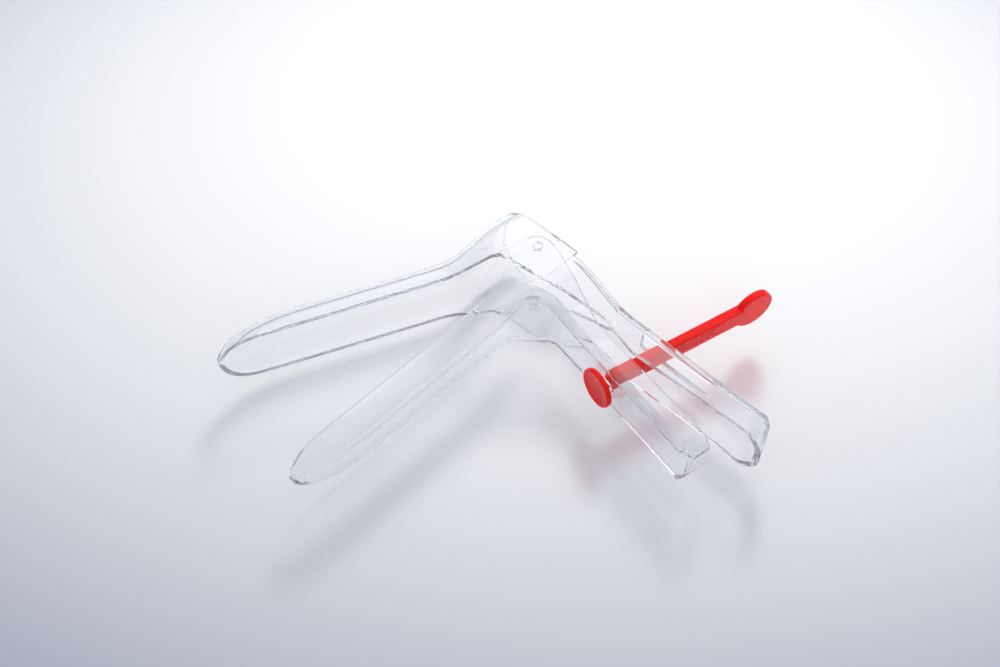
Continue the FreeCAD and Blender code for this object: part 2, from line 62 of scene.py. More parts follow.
MM = 0.001  # metres in a millimetre
CENTRE_Z = 17.0  # height of the symmetry plane over the table, in millimetres
PAST = 3.0  # how far a cutting shape reaches past what it cuts, in millimetres
FAR = 220.0  # beyond any point of the part, in millimetres
NEAR_AXIS = 0.01  # radius at which a turned profile starts and ends, in millimetres
PARALLEL = 0.1  # sine of the angle to SIDEWAYS below which an axis counts as parallel to it
NORMAL_WEIGHT = 60  # how strongly large faces lead the smooth shading
MIX_FIRST, MIX_SECOND, MIX_RESULT = 6, 7, 2  # the Mix node's colour sockets, whose names aren't unique
SIDEWAYS = np.array([0.0, 0.0, 1.0])  # across the part, up from the table


class Cut(Enum):
    """What a boolean step does with its second solid."""

    JOIN = "UNION"
    KEEP = "INTERSECT"
    REMOVE = "DIFFERENCE"


def direction(degrees: float) -> np.ndarray:
    """Unit vector in the symmetry plane at this angle from +X.

    Args:
        degrees: angle from +X, turning towards +Y.

    Returns:
        The vector (cos, sin, 0).
    """
    angle = math.radians(degrees)
    return np.array([math.cos(angle), math.sin(angle), 0.0])


def blend(low: np.ndarray | float, high: np.ndarray | float, share: np.ndarray) -> np.ndarray:
    """Smooth step from low to high: with s the share held between 0 and 1, it goes as 3 s^2 - 2 s^3.

    Args:
        low: value at share 0 and below.
        high: value at share 1 and above.
        share: how far along, one number or an array.

    Returns:
        The blended values.
    """
    held = np.clip(share, 0.0, 1.0)
    return low + (high - low) * held * held * (3.0 - 2.0 * held)


def linked(name: str, data: bpy.types.ID) -> Thing:
    """New object that holds this data, linked into the scene.

    Args:
        name: the object's name.
        data: its mesh, lamp or camera.

    Returns:
        The object.
    """
    thing = bpy.data.objects.new(name, data)
    bpy.context.scene.collection.objects.link(thing)
    return thing


def solid_object(name: str, vertices: np.ndarray, faces: list[list[int]]) -> Thing:
    """Mesh object from millimetre points about the symmetry plane, put in the part's frame in metres.

    Args:
        name: the object's name.
        vertices: (n, 3) points in millimetres, z counted from the symmetry plane.
        faces: lists of vertex numbers.

    Returns:
        The new object at the origin, with its normals outwards.
    """
    points = (vertices + SIDEWAYS * CENTRE_Z) * MM
    mesh = bpy.data.meshes.new(name)
    mesh.from_pydata(points.tolist(), [], faces)
    mesh.validate()
    thing = linked(name, mesh)
    if signed_volume(mesh) < 0.0:
        mesh.flip_normals()
    return thing


def signed_volume(mesh: bpy.types.Mesh) -> float:
    """Volume of a closed mesh, negative where its faces point inwards.

    Args:
        mesh: a closed mesh.

    Returns:
        A sixth of the sum over its triangles of a . (b x c).
    """
    mesh.calc_loop_triangles()
    corners = np.empty(len(mesh.loop_triangles) * 3, np.int32)
    mesh.loop_triangles.foreach_get("vertices", corners)
    points = np.empty(len(mesh.vertices) * 3, np.float32)
    mesh.vertices.foreach_get("co", points)
    a, b, c = points.reshape(-1, 3)[corners.reshape(-1, 3)].astype(float).transpose(1, 0, 2)
    return float(np.sum(a * np.cross(b, c)) / 6.0)


def ring_faces(count: int, around: int) -> list[list[int]]:
    """Faces of a closed tube of rings: quads between one ring and the next, and a cap at each end.

    Args:
        count: how many rings.
        around: how many points each ring has.

    Returns:
        Lists of vertex numbers, ring after ring.
    """
    ring, step = np.meshgrid(np.arange(count - 1), np.arange(around), indexing="ij")
    here = ring * around + step
    right = ring * around + (step + 1) % around
    quads = np.stack([here, right, right + around, here + around], axis=-1).reshape(-1, 4)
    caps = [list(range(around))[::-1], list(range((count - 1) * around, count * around))]
    return quads.tolist() + caps


def tube(name: str, rings: np.ndarray) -> Thing:
    """Closed solid through a stack of rings.

    Args:
        name: the object's name.
        rings: (count, around, 3) points in millimetres.

    Returns:
        The solid.
    """
    count, around, _ = rings.shape
    return solid_object(name, rings.reshape(-1, 3), ring_faces(count, around))


def rounded_outline(points: list[tuple], radii: list[float], arc_steps: int = 10) -> np.ndarray:
    """Closed outline in the plane with each corner rounded by an arc of its own radius.

    Args:
        points: corners as (x, y).
        radii: one radius for each corner, 0 for a sharp one.
        arc_steps: steps along each arc.

    Returns:
        (n, 2) points of the outline.
    """
    made = []
    count = len(points)
    for index, corner in enumerate(points):
        here = np.array(corner, float)
        if radii[index] <= 0.0:
            made.append(here[None, :])
            continue
        before = np.array(points[index - 1], float) - here
        after = np.array(points[(index + 1) % count], float) - here
        before /= np.linalg.norm(before)
        after /= np.linalg.norm(after)
        half = math.acos(float(np.clip(before @ after, -1.0, 1.0))) / 2.0
        bisector = (before + after) / np.linalg.norm(before + after)
        centre = here + bisector * radii[index] / math.sin(half)
        first = here + before * radii[index] / math.tan(half) - centre
        last = here + after * radii[index] / math.tan(half) - centre
        turn = math.pi - 2.0 * half
        share = np.linspace(0.0, 1.0, arc_steps + 1)[:, None]
        arc = (first * np.sin((1.0 - share) * turn) + last * np.sin(share * turn)) / math.sin(turn)
        made.append(centre + arc)
    return np.concatenate(made)


def prism(name: str, outline: np.ndarray, origin: np.ndarray, across: np.ndarray, up: np.ndarray,
          push: np.ndarray) -> Thing:
    """Solid between an outline and the same outline pushed along: origin + x across + y up + s push.

    Args:
        name: the object's name.
        outline: (n, 2) points.
        origin: where the outline's (0, 0) lies.
        across: direction of the outline's x.
        up: direction of the outline's y.
        push: the vector from the first face to the last.

    Returns:
        The solid.
    """
    flat = origin + outline[:, :1] * across + outline[:, 1:] * up
    return tube(name, np.stack([flat, flat + push]))


def side_prism(name: str, outline: np.ndarray) -> Thing:
    """Side view drawn through the whole width of the part."""
    return prism(name, outline, SIDEWAYS * -FAR, direction(0), direction(90), SIDEWAYS * 2.0 * FAR)


def revolved(name: str, profile: np.ndarray, origin: np.ndarray, axis: np.ndarray, turns: int = 64) -> Thing:
    """Solid of revolution: a point (a, r) of the profile goes to origin + a axis + r (cos t u + sin t v).

    Args:
        name: the object's name.
        profile: (n, 2) points, distance along the axis and radius, both ends just off the axis.
        origin: the axis's start.
        axis: unit vector along the axis.
        turns: steps round the circle.

    Returns:
        The solid.
    """
    u = np.cross(axis, SIDEWAYS)
    u = direction(0) if np.linalg.norm(u) < PARALLEL else u / np.linalg.norm(u)
    v = np.cross(axis, u)
    t = np.linspace(0.0, 2.0 * math.pi, turns, endpoint=False)
    circle = np.cos(t)[:, None] * u + np.sin(t)[:, None] * v
    rings = origin + profile[:, None, :1] * axis + profile[:, None, 1:] * circle[None, :, :]
    return tube(name, rings)


def combine(base: Thing, others: list[Thing], cut: Cut) -> Thing:
    """Joins, keeps or removes solids, and deletes the ones it used.

    Args:
        base: the solid that is changed.
        others: the solids it is changed by.
        cut: which way.

    Returns:
        The changed base.
    """
    for other in others:
        step = base.modifiers.new("cut", "BOOLEAN")
        step.operation = cut.value
        step.solver = "MANIFOLD"
        step.object = other
        graph = bpy.context.evaluated_depsgraph_get()
        made = bpy.data.meshes.new_from_object(base.evaluated_get(graph))
        base.modifiers.clear()
        base.data = made
        bpy.data.objects.remove(other)
    return base


def finish_moulding(thing: Thing, name: str, crease: float) -> Thing:
    """Smooth shading that keeps edges sharper than the crease angle.

    Args:
        thing: the finished solid.
        name: the piece's name.
        crease: angle in degrees.

    Returns:
        The same object, renamed.
    """
    thing.name = name
    thing.data.name = name
    thing.data.polygons.foreach_set("use_smooth", np.ones(len(thing.data.polygons), bool))
    thing.data.set_sharp_from_angle(angle=math.radians(crease))
    even = thing.modifiers.new("even", "WEIGHTED_NORMAL")
    even.keep_sharp = True
    even.weight = NORMAL_WEIGHT
    thing.data.update()
    return thing


@dataclass(frozen=True)
class Trough:
    """Stack of U sections: bottoms, the way their legs point, leg heights, half widths and corner radii."""

    bottom: np.ndarray
    way: np.ndarray
    height: np.ndarray
    half_width: np.ndarray
    corner: np.ndarray
    arc_steps: int = 12
    leg_steps: int = 8
    web_steps: int = 8
    corner_share: float = 0.9

    def rings(self) -> np.ndarray:
        """Points of every section: down one leg, round the corner, across the web, and up the other side.

        With h the height over the bottom, z the distance from the middle, w the half width, r the corner's
        radius and a the angle round it: the leg is z = w, the corner is h = r (1 - sin a) and
        z = w - r (1 - cos a), and the web is h = 0.

        Returns:
            (count, around, 3) points in millimetres.
        """
        w = self.half_width[:, None]
        r = np.minimum(self.corner[:, None], self.corner_share * np.minimum(w, self.height[:, None]))
        share = np.linspace(0.0, 1.0, self.leg_steps + 1)[None, :-1]
        leg_h = self.height[:, None] + (r - self.height[:, None]) * share
        leg_z = w + 0.0 * share
        angle = np.linspace(0.0, math.pi / 2.0, self.arc_steps + 1)[None, :]
        arc_h = r * (1.0 - np.sin(angle))
        arc_z = w - r * (1.0 - np.cos(angle))
        web = np.linspace(1.0, -1.0, self.web_steps + 1)[None, 1:-1]
        web_h = 0.0 * web * r
        web_z = (w - r) * web
        height = np.concatenate([leg_h, arc_h, web_h, arc_h[:, ::-1], leg_h[:, ::-1]], axis=1)
        side = np.concatenate([leg_z, arc_z, web_z, -arc_z[:, ::-1], -leg_z[:, ::-1]], axis=1)
        points = self.bottom[:, None, :] + self.way[:, None, :] * height[:, :, None]
        return points + SIDEWAYS * side[:, :, None]

    def joined(self, *others: "Trough") -> "Trough":
        """This stack followed by others.

        Args:
            others: the stacks that follow, in order.

        Returns:
            One stack.
        """
        parts = (self,) + others
        names = ("bottom", "way", "height", "half_width", "corner")
        return Trough(*[np.concatenate([getattr(part, name) for part in parts]) for name in names])

    def eased(self, spacing: float, reach: float) -> "Trough":
        """Stack resampled evenly along its bottom line and averaged over a short run, its ends kept.

        The sizes are read at even distances along the polyline of bottoms, and each becomes the mean of its
        neighbours within the reach, a run that shrinks to nothing at the ends.

        Args:
            spacing: distance between sections.
            reach: half the run that is averaged.

        Returns:
            The smoother stack.
        """
        gaps = np.linalg.norm(np.diff(self.bottom, axis=0), axis=1)
        along = np.concatenate([[0.0], np.cumsum(gaps)])
        count = int(along[-1] / spacing) + 1
        even = np.linspace(0.0, along[-1], count)
        values = np.concatenate([self.bottom, self.way, self.height[:, None], self.half_width[:, None],
                                 self.corner[:, None]], axis=1)
        read = np.stack([np.interp(even, along, column) for column in values.T], axis=1)
        total = np.concatenate([np.zeros((1, read.shape[1])), np.cumsum(read, axis=0)])
        half = np.minimum(int(reach / spacing), np.minimum(np.arange(count), np.arange(count)[::-1]))
        index = np.arange(count)
        mean = (total[index + half + 1] - total[index - half]) / (2 * half + 1)[:, None]
        way = mean[:, 3:6] / np.linalg.norm(mean[:, 3:6], axis=1)[:, None]
        return Trough(mean[:, 0:3], way, mean[:, 6], mean[:, 7], mean[:, 8])


@dataclass(frozen=True)
class BladeForm:
    """Sizes that both blades share, in millimetres."""

    length: float = 108.4
    half_width: float = 11.1
    tip_half_width: float = 10.5
    corner: float = 6.8
    root: float = 9.0
    flare: float = 24.0
    tip_round: float = 15.0
    tip_power: float = 2.4
    tip_slope: float = 30.0
    slope_power: float = 2.2
    tip_depth: float = 3.4
    tip_end_angle: float = 88.0
    tip_sections: int = 40
    nose: float = 2.2
    nose_depth: float = 0.9
    section_gap: float = 1.5

    def width(self, reach: np.ndarray, root_width: float, wall: float) -> np.ndarray:
        """Half width at a distance from the hinge.

        It tapers slowly, and round the tip it goes as w (1 - s^p)^0.5, with w the width there, s the share of
        the tip's length and p its power.

        Args:
            reach: distances from the hinge.
            root_width: half width at the root.
            wall: how far inside the outer face.

        Returns:
            The half widths.
        """
        start = self.length - self.tip_round
        taper = self.tip_half_width + (self.half_width - self.tip_half_width) * (start - reach) / start
        body = blend(root_width, taper, (reach - self.root) / self.flare) - wall
        share = np.clip((reach - start) / (self.tip_round - wall), 0.0, 1.0)
        tip = (self.tip_half_width - wall) * np.sqrt(1.0 - share ** self.tip_power)
        return np.where(reach > start, tip, body)

    def depth(self, reach: np.ndarray, depth: float, wall: float) -> np.ndarray:
        """Depth at a distance from the hinge.

        Along the slope it falls to the tip's depth as s^p, with s the share of the slope and p its power, and
        over the nose it is rounded off as (1 - s^2)^0.5.

        Args:
            reach: distances from the hinge.
            depth: depth before the slope.
            wall: how far inside the outer face.

        Returns:
            The depths.
        """
        share = np.clip((reach - self.length + self.tip_slope) / (self.tip_slope - wall), 0.0, 1.0)
        sloped = depth - (depth - self.tip_depth) * share ** self.slope_power
        last = np.clip((reach - self.length + wall + self.nose) / self.nose, 0.0, 1.0)
        return sloped * (self.nose_depth + (1.0 - self.nose_depth) * np.sqrt(1.0 - last ** 2))

    def reaches(self, first: float, wall: float) -> np.ndarray:
        """Distances of the sections from the hinge, even along the blade and closer round the tip.

        Args:
            first: the distance nearest the hinge.
            wall: how far inside the outer face.

        Returns:
            The distances, from the tip inwards.
        """
        start = self.length - self.tip_round
        straight = np.linspace(first, start, int((start - first) / self.section_gap) + 1)[:-1]
        turn = np.radians(np.linspace(0.0, self.tip_end_angle, self.tip_sections))
        return np.concatenate([straight, start + (self.tip_round - wall) * np.sin(turn)])[::-1]


@dataclass(frozen=True)
class Walls:
    """Thicknesses of the valves' walls and lip, their clearances, and the legs' overlap, in millimetres."""

    wall: float = 1.6
    lip: float = 2.2
    hinge: float = 0.05
    bar: float = 0.35
    slot: float = 0.5
    over: float = 1.0


@dataclass
class Piece:
    """What every piece has: its name, the body it rides on, a material slot name that is not used, and its
    crease angle.
    """

    name: str
    body: str
    slot: str
    crease: float = 38.0

    def place(self, thing: Thing, material: bpy.types.Material) -> Thing:
        """Smooths and dresses the piece, hides the plain solid it stands for and makes it move with its body.

        Args:
            thing: the finished solid.
            material: its finish.

        Returns:
            The same object.
        """
        finish_moulding(thing, self.name, self.crease)
        thing.data.materials.clear()
        thing.data.materials.append(material)
        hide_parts(self.body)
        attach(thing, self.body)
        low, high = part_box(self.body)
        LOG.info("%s: %d faces, stands for %s, %s to %s", thing.name, len(thing.data.polygons), self.body,
                 tuple(round(v, 4) for v in low), tuple(round(v, 4) for v in high))
        return thing


@dataclass
class Valve(Piece):
    """What both clear mouldings share, in millimetres."""

    walls: Walls = field(default_factory=Walls)
    blade: BladeForm = field(default_factory=BladeForm)
    stud_radius: float = 1.6
    ear_radius: float = 5.4
    section_gap: float = 1.2
    easing: float = 2.0

    def lofted(self, name: str, stack: Trough) -> Thing:
        """Solid through a stack of sections that are eased first."""
        return tube(name, stack.eased(self.section_gap, self.easing).rings())

    def over(self, wall: float) -> float:
        """How far legs reach past the rim: a hollow's, which have to cut through it, go further."""
        return PAST if wall else self.walls.over


def handle_block(lean: float, length: float, half_width: float, corner: float, shoulder: float) -> Thing:
    """Block that keeps all of a valve but what lies outside its handle's rounded end.

    Args:
        lean: the handle's lean from the hinge's upright, in degrees.
        length: distance of the end from the hinge.
        half_width: half width at the end.
        corner: radius of the end's corners.
        shoulder: distance of the block's step above the end.

    Returns:
        The block.
    """
    step = length - shoulder
    points = [(-FAR, FAR), (step, FAR), (step, half_width), (length, half_width),
              (length, -half_width), (step, -half_width), (step, -FAR), (-FAR, -FAR)]
    outline = rounded_outline(points, [0, 0, 0, corner, corner, 0, 0, 0], arc_steps=24)
    back = direction(-lean)
    return prism("block", outline, back * -FAR, direction(-90 - lean), SIDEWAYS, back * 2.0 * FAR)


@dataclass
class LowerValve(Valve):
    """Lower blade, ears with hinge studs and front handle, in millimetres."""

    easing: float = 3.0
    rim_drop: float = 0.4
    depth: float = 8.6
    ramp: float = 24.0  # from the hinge to where the rim starts to rise
    ramp_radius: float = 20.0
    shoulder: tuple[float, float] = (9.0, 3.0)
    shoulder_radius: float = 8.0
    ear_half_width: float = 14.85
    ear_edge_drop: float = 16.0
    ear_edge_inset: float = 4.1
    ear_edge_radius: float = 12.0
    ear_corner: float = 5.35
    ear_flat: float = 2.7
    ear_front_radius: float = 1.6
    ear_rise: float = 21.7
    ear_rise_span: float = 1.1
    ear_rise_power: float = 0.8
    ear_widening: float = 2.4
    stud_edge: float = 0.2
    stud_edge_middle: float = 0.06
    handle_length: float = 86.0
    lean: float = 10.6
    handle_half_width: float = 9.0
    handle_depth: float = 8.1
    handle_flare: float = 1.9
    handle_corner: float = 2.6
    handle_start: float = 34.0
    handle_sections: int = 36
    end_corner: float = 5.5
    end_shoulder: float = 20.0
    end_heel: float = 4.0
    web: float = 7.6  # from the hinge forward to the front web's face
    bend_radius: float = 10.0
    bend_half_width: float = 12.4
    bend_sections: int = 49
    neck_half_width: float = 9.5
    slot_roundness: float = 0.999

    def axes(self) -> tuple[np.ndarray, np.ndarray]:
        """Unit vectors from the front handle's web into its channel, and down the handle."""
        return direction(-self.lean), direction(-90.0 - self.lean)

    def trough(self, wall: float) -> Trough:
        """Blade, bend and front handle as one stack of U sections.

        Args:
            wall: 0 for the outer form, the wall for the hollow.

        Returns:
            The stack from the blade's tip to past the handle's end.
        """
        return self.blade_part(wall).joined(self.bend_part(wall), self.handle_part(wall))

    def blade_part(self, wall: float) -> Trough:
        """Sections along the blade, their legs up.

        Args:
            wall: how far inside the outer face.

        Returns:
            The stack from the tip to the bend.
        """
        reach = self.blade.reaches(self.ramp + self.blade.root - PAST, wall)
        depth = self.blade.depth(reach, self.depth, wall)
        bottom = np.stack([-reach, wall - self.rim_drop - depth, 0.0 * reach], axis=1)
        way = np.tile(direction(90), (len(reach), 1))
        width = self.blade.width(reach, self.blade.half_width, wall)
        corner = np.full(len(reach), self.blade.corner - wall)
        return Trough(bottom, way, depth - wall + self.over(wall), width, corner)

    def bend_part(self, wall: float) -> Trough:
        """Sections fanned round the bend, while their legs rise to the ears as a power of a sine.

        Args:
            wall: how far inside the outer face.

        Returns:
            The stack from the blade to the handle.
        """
        share = np.linspace(0.0, 1.0, self.bend_sections)
        lean, _ = self.axes()
        centre_y = -self.rim_drop - self.depth - self.bend_radius
        centre_x = (-self.web - self.bend_radius - centre_y * lean[1]) / lean[0]
        angle = np.radians(90.0 - (90.0 + self.lean) * share)
        way = np.stack([np.cos(angle), np.sin(angle), 0.0 * angle], axis=1)
        bottom = np.array([centre_x, centre_y, 0.0]) + way * (self.bend_radius + wall)
        rise = np.sin(math.pi * np.minimum(1.0, share * self.ear_rise_span)).clip(0.0) ** self.ear_rise_power
        height = self.depth + self.ear_rise * rise + self.handle_depth * share + self.over(wall)
        widen = blend(self.bend_half_width, self.ear_half_width, share * self.ear_widening)
        width = blend(widen, self.neck_half_width, share * 2.0 - 1.0)
        first = self.blade.corner - wall
        corner = first + (self.handle_corner - wall / 2.0 - first) * share
        return Trough(bottom, way, height, width - wall, corner)

    def handle_part(self, wall: float) -> Trough:
        """Sections down the front handle, which gets deeper towards its end.

        Args:
            wall: how far inside the outer face.

        Returns:
            The stack from the bend to past the handle's end.
        """
        start = self.handle_start + PAST
        reach = np.linspace(start, self.handle_length + PAST, self.handle_sections)
        share = (reach - start) / (self.handle_length - start)
        lean, down = self.axes()
        bottom = lean * (wall - self.web) + down * reach[:, None]
        height = self.handle_depth + self.handle_flare * share + PAST + self.over(wall)
        same = np.ones(len(reach))
        return Trough(bottom, same[:, None] * lean, height, same * (self.handle_half_width - wall),
                      same * (self.handle_corner - wall / 2.0))

    def outline(self) -> np.ndarray:
        """Side view: blade rim, round ear and the handle's back edge.

        Returns:
            (n, 2) points.
        """
        lean, down = self.axes()
        back = self.handle_depth - self.web
        top = down * self.handle_start + lean * back
        end = down * (self.handle_length + PAST) + lean * (back + self.handle_flare)
        tip = -self.blade.length - PAST
        ear = self.ear_radius
        points = [(tip, -self.rim_drop), (-self.ramp, -self.rim_drop), (-self.shoulder[0], self.shoulder[1]),
                  (-self.ear_flat, ear), (ear, ear), (ear, -self.ear_flat),
                  (ear - self.ear_edge_inset, -self.ear_edge_drop), tuple(top[:2]), tuple(end[:2]),
                  (tip, end[1])]
        radii = [0, self.ramp_radius, self.shoulder_radius, self.ear_front_radius, self.ear_corner, ear,
                 self.ear_edge_radius, self.ear_edge_radius, 0, 0]
        return rounded_outline(points, radii)

    def end(self, inset: float) -> Thing:
        """Block that rounds the handle's end, or its hollow's."""
        return handle_block(self.lean, self.handle_length - inset, self.handle_half_width - inset,
                            self.end_corner - inset, self.end_shoulder)

    def foot(self, inset: float) -> Thing:
        """Space that rounds the heel between the handle's web and its end, or its hollow's.

        Args:
            inset: how far inside the outer face.

        Returns:
            The space as a solid.
        """
        lean, down = self.axes()
        web = lean * (inset - self.web)
        end = down * (self.handle_length - inset)
        shoulder = down * (self.handle_length - self.end_shoulder)
        points = [-lean * FAR - down * FAR, shoulder - lean * FAR, web + shoulder, web + end,
                  lean * FAR + end, lean * FAR - down * FAR]
        radii = [0, 0, 0, self.end_heel - inset, 0, 0]
        return side_prism("foot", rounded_outline([tuple(p[:2]) for p in points], radii))

    def stud(self, sign: float) -> Thing:
        """Hinge stud on one ear, its edge softened.

        Args:
            sign: 1 for the ear away from the table, -1 for the one near it.

        Returns:
            The stud, its foot inside the ear.
        """
        root = self.ear_half_width - self.walls.wall / 2.0
        length = CENTRE_Z - root
        r = self.stud_radius
        profile = np.array([(0.0, NEAR_AXIS), (0.0, r), (length - self.stud_edge, r),
                            (length - self.stud_edge_middle, r - self.stud_edge_middle),
                            (length, r - self.stud_edge), (length, NEAR_AXIS)])
        return revolved("stud", profile, SIDEWAYS * sign * root, SIDEWAYS * sign)

    def bar_slot(self, bar: "BarForm") -> Thing:
        """Round-ended slot of the front web, which takes the bar's width down the handle until it is turned.

        Args:
            bar: the locking bar's form.

        Returns:
            The cutting block.
        """
        radius = bar.thickness / 2.0 + self.walls.bar
        half = bar.width / 2.0 + self.walls.bar
        points = [(half, radius), (half, -radius), (-half, -radius), (-half, radius)]
        outline = rounded_outline(points, [radius * self.slot_roundness] * 4, arc_steps=12)
        start, along, below = bar.frame()
        return prism("slot", outline, start - along * bar.length, below, SIDEWAYS, along * bar.length)

    def build(self, bar: "BarForm", material: bpy.types.Material) -> Thing:
        """Makes the moulding and dresses it.

        Args:
            bar: the locking bar's form, which the slot fits.
            material: the clear plastic.

        Returns:
            The finished piece.
        """
        wall = self.walls.wall
        body = self.lofted(self.name, self.trough(0.0))
        combine(body, [side_prism("outline", self.outline()), self.end(0.0), self.foot(0.0)], Cut.KEEP)
        hollow = self.lofted("hollow", self.trough(wall))
        combine(hollow, [self.end(wall), self.foot(wall)], Cut.KEEP)
        combine(body, [hollow], Cut.REMOVE)
        combine(body, [self.stud(1.0), self.stud(-1.0)], Cut.JOIN)
        combine(body, [self.bar_slot(bar)], Cut.REMOVE)
        return self.place(body, material)


@dataclass
class UpperValve(Valve):
    """Upper blade, arched yoke and rear handle, in millimetres."""

    opening_angle: float = 23.9
    rim_rise: float = 2.5
    depth: float = 9.6
    arch_lift: float = 12.8
    arch_corner: float = 15.6
    arch_run: float = 32.0
    arch_back: float = 3.0
    side_width: float = 16.75
    cheek_back: float = 7.0
    cheek_front: float = 8.2
    cheek_foot: float = 12.5
    cheek_foot_radius: float = 12.0
    cheek_reach: float = 13.5
    panel_top: float = 5.5
    panel_bottom: float = 11.0
    sink_radius: float = 2.4
    sink_depth: float = 0.5
    length: float = 97.0
    back: float = 6.4  # from the hinge back to the rear web's face
    half_width: float = 8.9
    corner: float = 3.2
    neck_sections: int = 27
    end_sections: int = 22
    end_flare: float = 0.8
    end_length: float = 20.0
    end_corner: float = 8.4
    end_slant: float = 3.6
    heel: float = 4.0
    neck_top: float = 11.0
    neck_bottom: float = 37.0
    neck_front: float = 1.8
    grip_top: float = 46.0
    grip_front: float = 5.5
    lip_top: float = 84.0
    lip_front: float = 3.4
    lip_end_front: float = 3.6
    lip_radius: float = 16.0
    edge_radius: float = 10.0
    aperture_top: float = 10.0
    aperture_shoulder: float = 11.0
    aperture_bottom: float = 32.0
    aperture_corner: float = 5.0
    aperture_foot_wall: float = 2.8
    slot_top: float = 42.5
    slot_bottom: float = 71.5
    slot_corner: float = 1.5

    def point(self, reach: np.ndarray | float, rise: np.ndarray | float) -> np.ndarray:
        """Point by the upper blade's own measures.

        Args:
            reach: distance along the blade from the hinge.
            rise: height over the hinge line, square to the blade.

        Returns:
            The point or points.
        """
        along = direction(180.0 - self.opening_angle)
        up = direction(90.0 - self.opening_angle)
        return np.multiply.outer(reach, along) + np.multiply.outer(rise, up)

    def arch(self, wall: float) -> Trough:
        """Blade and arch as a stack of U sections, crown up.

        Args:
            wall: 0 for the outer form, the wall for the hollow.

        Returns:
            The stack from the tip to behind the cheeks.
        """
        reach = self.blade.reaches(-2.0 * self.cheek_back, wall)
        depth = self.blade.depth(reach, self.depth, wall)
        share = (reach + self.arch_back) / self.arch_run
        lift = blend(self.arch_lift, 0.0, share)
        corner = blend(self.arch_corner, self.blade.corner, share) - wall
        bottom = self.point(reach, self.rim_rise + depth + lift - wall)
        width = self.blade.width(reach, self.side_width, wall)
        legs = blend(self.cheek_back, 0.0, reach / self.cheek_reach)
        way = np.tile(direction(-90.0 - self.opening_angle), (len(reach), 1))
        return Trough(bottom, way, depth + lift - wall + self.over(wall) + legs, width, corner)

    def handle(self, wall: float) -> Trough:
        """Cheeks, neck and rear handle as a stack of U sections, open to the front.

        Args:
            wall: 0 for the outer form, the wall for the hollow.

        Returns:
            The stack from over the hinge to past the handle's end.
        """
        drop = np.concatenate([[-self.panel_top - self.walls.wall],
                               np.linspace(self.neck_top, self.neck_bottom, self.neck_sections),
                               np.linspace(self.length - self.end_length, self.length + self.walls.wall,
                                           self.end_sections)])
        share = (drop - self.neck_top) / (self.neck_bottom - self.neck_top)
        width = blend(self.side_width, self.half_width, share)
        width = width + blend(0.0, self.end_flare, (drop - self.length) / self.end_length + 1.0)
        back = blend(self.cheek_back, self.back, share)
        bottom = np.stack([back - wall, -drop, 0.0 * drop], axis=1)
        way = np.tile(direction(180.0), (len(drop), 1))
        same = np.ones(len(drop))
        height = same * (2.0 * (self.cheek_back + self.cheek_front) + PAST)
        return Trough(bottom, way, height, width - wall, same * (self.corner - wall / 2.0))

    def outline(self) -> np.ndarray:
        """Side view: blade rim, cheek and the handle's front edge.

        Returns:
            (n, 2) points.
        """
        crown = self.rim_rise + self.depth + self.arch_lift + PAST
        end = -self.length - PAST
        far = self.blade.length + PAST
        points = [self.point(far, self.rim_rise)[:2], self.point(self.cheek_reach, self.rim_rise)[:2],
                  (-self.cheek_front, -self.cheek_foot), (-self.neck_front, -self.aperture_bottom),
                  (-self.grip_front, -self.grip_top), (-self.lip_front, -self.lip_top),
                  (-self.lip_end_front, end), (self.back, end), (self.back, -self.neck_bottom),
                  (self.cheek_back, -self.neck_top), (self.cheek_back, self.point(0.0, crown)[1]),
                  self.point(0.0, crown)[:2], self.point(far, crown)[:2]]
        radii = [0, self.depth / 2.0, self.cheek_foot_radius, self.edge_radius, self.edge_radius,
                 self.lip_radius, 0, 0, 0, 0, 0, 0, 0]
        return rounded_outline(points, radii)

    def foot(self, wall: float) -> Thing:
        """Space over the slanted foot of the handle, its heel rounded.

        Args:
            wall: 0 for the outer form, the foot's thickness for the hollow.

        Returns:
            The space as a solid.
        """
        slope = self.end_slant / (self.back + self.lip_end_front)
        back = self.back - (self.walls.wall if wall else 0.0)
        lip = wall - self.length
        points = [(-FAR, lip - slope * (FAR - self.lip_end_front)),
                  (back, lip + slope * (back + self.lip_end_front)),
                  (back, -self.lip_top), (FAR, -self.lip_top), (FAR, FAR), (-FAR, FAR)]
        return side_prism("foot", rounded_outline(points, [0, self.heel - wall / 2.0, 0, 0, 0, 0]))

    def end(self, inset: float, lip: float) -> Thing:
        """Block square to the slanted foot, which rounds the handle's end, or its hollow's.

        Args:
            inset: how far inside the handle's sides.
            lip: how far above its foot.

        Returns:
            The block.
        """
        slant = math.atan2(self.end_slant, self.back + self.lip_end_front)
        reach = self.length * math.cos(slant) - self.lip_end_front * math.sin(slant)
        return handle_block(-math.degrees(slant), reach - lip, self.half_width + self.end_flare - inset,
                            self.end_corner - inset, self.end_length)

    def above_hinge(self) -> Thing:
        """Space over the hinge line, where the arch's legs end inside the cheeks."""
        low = self.panel_top - self.ear_radius - PAST
        return side_prism("above", np.array([(-FAR, low), (FAR, low), (FAR, FAR), (-FAR, FAR)]))

    def panel(self, sign: float) -> Thing:
        """Flat raised panel on the outside of one cheek.

        Args:
            sign: 1 for the cheek away from the table, -1 for the one on it.

        Returns:
            The panel, its foot inside the cheek.
        """
        root = self.side_width - self.walls.wall / 2.0
        low, high = -self.panel_bottom, self.panel_top
        box = np.array([(-FAR / 2, low), (FAR / 2, low), (FAR / 2, high), (-FAR / 2, high)])
        made = prism("panel", box, SIDEWAYS * sign * root, direction(0), direction(90),
                     SIDEWAYS * sign * (CENTRE_Z - root))
        return combine(made, [side_prism("outline", self.outline())], Cut.KEEP)

